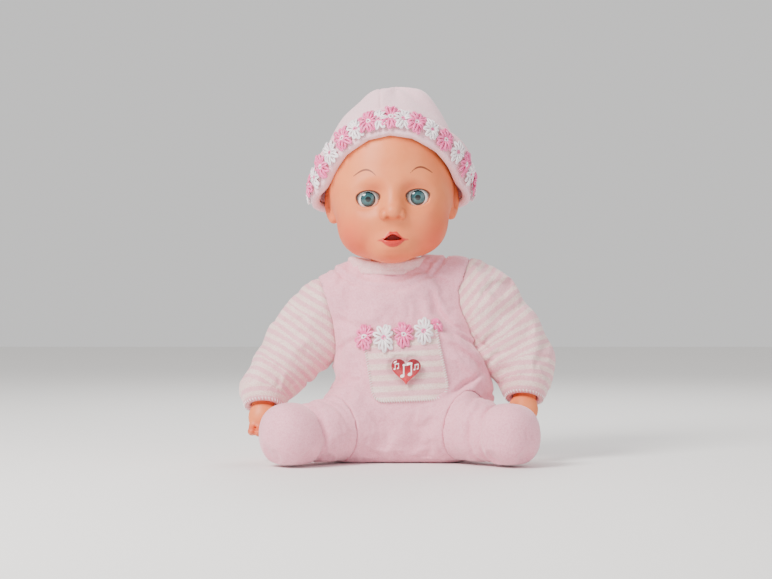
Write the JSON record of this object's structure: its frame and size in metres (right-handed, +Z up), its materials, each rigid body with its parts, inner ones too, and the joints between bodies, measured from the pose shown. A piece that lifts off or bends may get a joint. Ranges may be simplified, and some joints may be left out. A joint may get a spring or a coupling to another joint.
{
  "type": "interactive baby doll",
  "caption": "Sitting soft-bodied baby doll with a vinyl head, sleeping eyes, hat, posable limbs, a press button on the belly and a battery sound module in the back.",
  "frame": {"origin": "middle of the flat seat the doll sits on", "axes": "+Z up, -Y the way the face looks, +X the doll's left"},
  "size_m": [0.2384, 0.1635, 0.2896],
  "materials": {
    "velour": "soft pale pink cut pile",
    "stripe_knit": "pink and white striped terry knit",
    "hat_velour": "pale pink velour",
    "satin_trim": "looped satin ribbon flowers, pink and white",
    "vinyl": "soft matt vinyl, blushed",
    "eye_white": "polished",
    "eye_iris": "blue-green with a dark pupil, under a clear gloss",
    "white_plastic": "moulded, fine texture",
    "red_plastic": "printed red with white music notes",
    "black_plastic": "moulded",
    "fibre": "loose white polyester filling",
    "nylon_tie": "natural nylon",
    "steel": "plated",
    "circuit": "green solder mask"
  },
  "bodies": {
    "torso": {"romper_torso": "velour", "torso_stuffing": "fibre", "pocket": "stripe_knit", "pocket_trim": "satin_trim", "collar": "velour", "press_switch": "black_plastic", "sensor_lead": "black_plastic", "module_front_case": "white_plastic", "module_rear_case": "white_plastic", "circuit_board": "circuit", "speaker": "black_plastic", "button_cell_1": "steel", "button_cell_2": "steel", "button_cell_3": "steel", "battery_contact_spring": "steel", "battery_contact_plate": "steel", "case_screw_1": "steel", "case_screw_2": "steel", "case_screw_3": "steel", "case_screw_4": "steel", "power_switch_body": "black_plastic"},
    "neck": {"neck_tie": "nylon_tie", "neck_gather": "velour"},
    "head": {"head_shell": "vinyl", "left_eye_case": "white_plastic", "right_eye_case": "white_plastic"},
    "hat": {"hat": "hat_velour", "hat_trim": "satin_trim"},
    "heart_button": {"heart_button": "red_plastic"},
    "power_switch": {"power_switch_knob": "black_plastic"},
    "battery_door": {"battery_door": "white_plastic", "battery_door_screw": "steel"},
    "left_eye": {"left_eyeball": "eye_white", "left_eye_iris": "eye_iris", "left_eye_weight": "steel"},
    "left_arm": {"left_sleeve": "stripe_knit", "left_arm_stuffing": "fibre", "left_wrist_tie": "nylon_tie"},
    "left_hand": {"left_hand": "vinyl"},
    "left_leg": {"left_leg": "velour", "left_leg_stuffing": "fibre"},
    "right_eye": {"right_eyeball": "eye_white", "right_eye_iris": "eye_iris", "right_eye_weight": "steel"},
    "right_arm": {"right_sleeve": "stripe_knit", "right_arm_stuffing": "fibre", "right_wrist_tie": "nylon_tie"},
    "right_hand": {"right_hand": "vinyl"},
    "right_leg": {"right_leg": "velour", "right_leg_stuffing": "fibre"}
  },
  "joints": [
    {"name": "head_nod", "type": "hinge", "parent": "torso", "child": "neck", "pos_m": [0, 0.008, 0.15], "axis": [1, 0, 0], "range_deg": [-20, 5]},
    {"name": "head_turn", "type": "hinge", "parent": "neck", "child": "head", "pos_m": [0, 0.008, 0.15], "axis": [-0.0349, 0, 0.9994], "range_deg": [-45, 45]},
    {"name": "hat_lift", "type": "slide", "parent": "head", "child": "hat", "axis": [-0.0349, 0, 0.9994], "range_m": [0, 0.11]},
    {"name": "left_eye_close", "type": "hinge", "parent": "head", "child": "left_eye", "pos_m": [0.01684, -0.033, 0.20362], "axis": [0.9994, 0, 0.0349], "range_deg": [0, 80]},
    {"name": "right_eye_close", "type": "hinge", "parent": "head", "child": "right_eye", "pos_m": [-0.02054, -0.033, 0.20231], "axis": [0.9994, 0, 0.0349], "range_deg": [0, 80]},
    {"name": "left_arm_swing", "type": "hinge", "parent": "torso", "child": "left_arm", "pos_m": [0.062, 0.005, 0.128], "axis": [-0.9397, -0.342, 0], "range_deg": [-20, 100]},
    {"name": "left_hand_twist", "type": "hinge", "parent": "left_arm", "child": "left_hand", "pos_m": [0.103, -0.013, 0.049], "axis": [0, 0.4472, 0.8944], "range_deg": [-60, 60]},
    {"name": "right_arm_swing", "type": "hinge", "parent": "torso", "child": "right_arm", "pos_m": [-0.059, 0.005, 0.122], "axis": [-0.9397, 0.342, 0], "range_deg": [-20, 100]},
    {"name": "right_hand_twist", "type": "hinge", "parent": "right_arm", "child": "right_hand", "pos_m": [-0.1, -0.013, 0.043], "axis": [0, 0.4472, 0.8944], "range_deg": [-60, 60]},
    {"name": "left_leg_raise", "type": "hinge", "parent": "torso", "child": "left_leg", "pos_m": [0.046, -0.028, 0.027], "axis": [-0.6691, -0.7431, 0], "range_deg": [-10, 28]},
    {"name": "right_leg_raise", "type": "hinge", "parent": "torso", "child": "right_leg", "pos_m": [-0.034, -0.028, 0.027], "axis": [-0.6691, 0.7431, 0], "range_deg": [-10, 28]},
    {"name": "heart_press", "type": "slide", "parent": "torso", "child": "heart_button", "axis": [0, 1, 0], "range_m": [0, 0.002], "stiffness_N_per_m": 400, "springref_m": -0.001},
    {"name": "power_switch_slide", "type": "slide", "parent": "torso", "child": "power_switch", "axis": [0, 0, 1], "range_m": [0, 0.004]},
    {"name": "battery_door_open", "type": "hinge", "parent": "torso", "child": "battery_door", "pos_m": [0.01, 0.0482, 0.0454], "axis": [-1, 0, 0], "range_deg": [0, 100]}
  ]
}
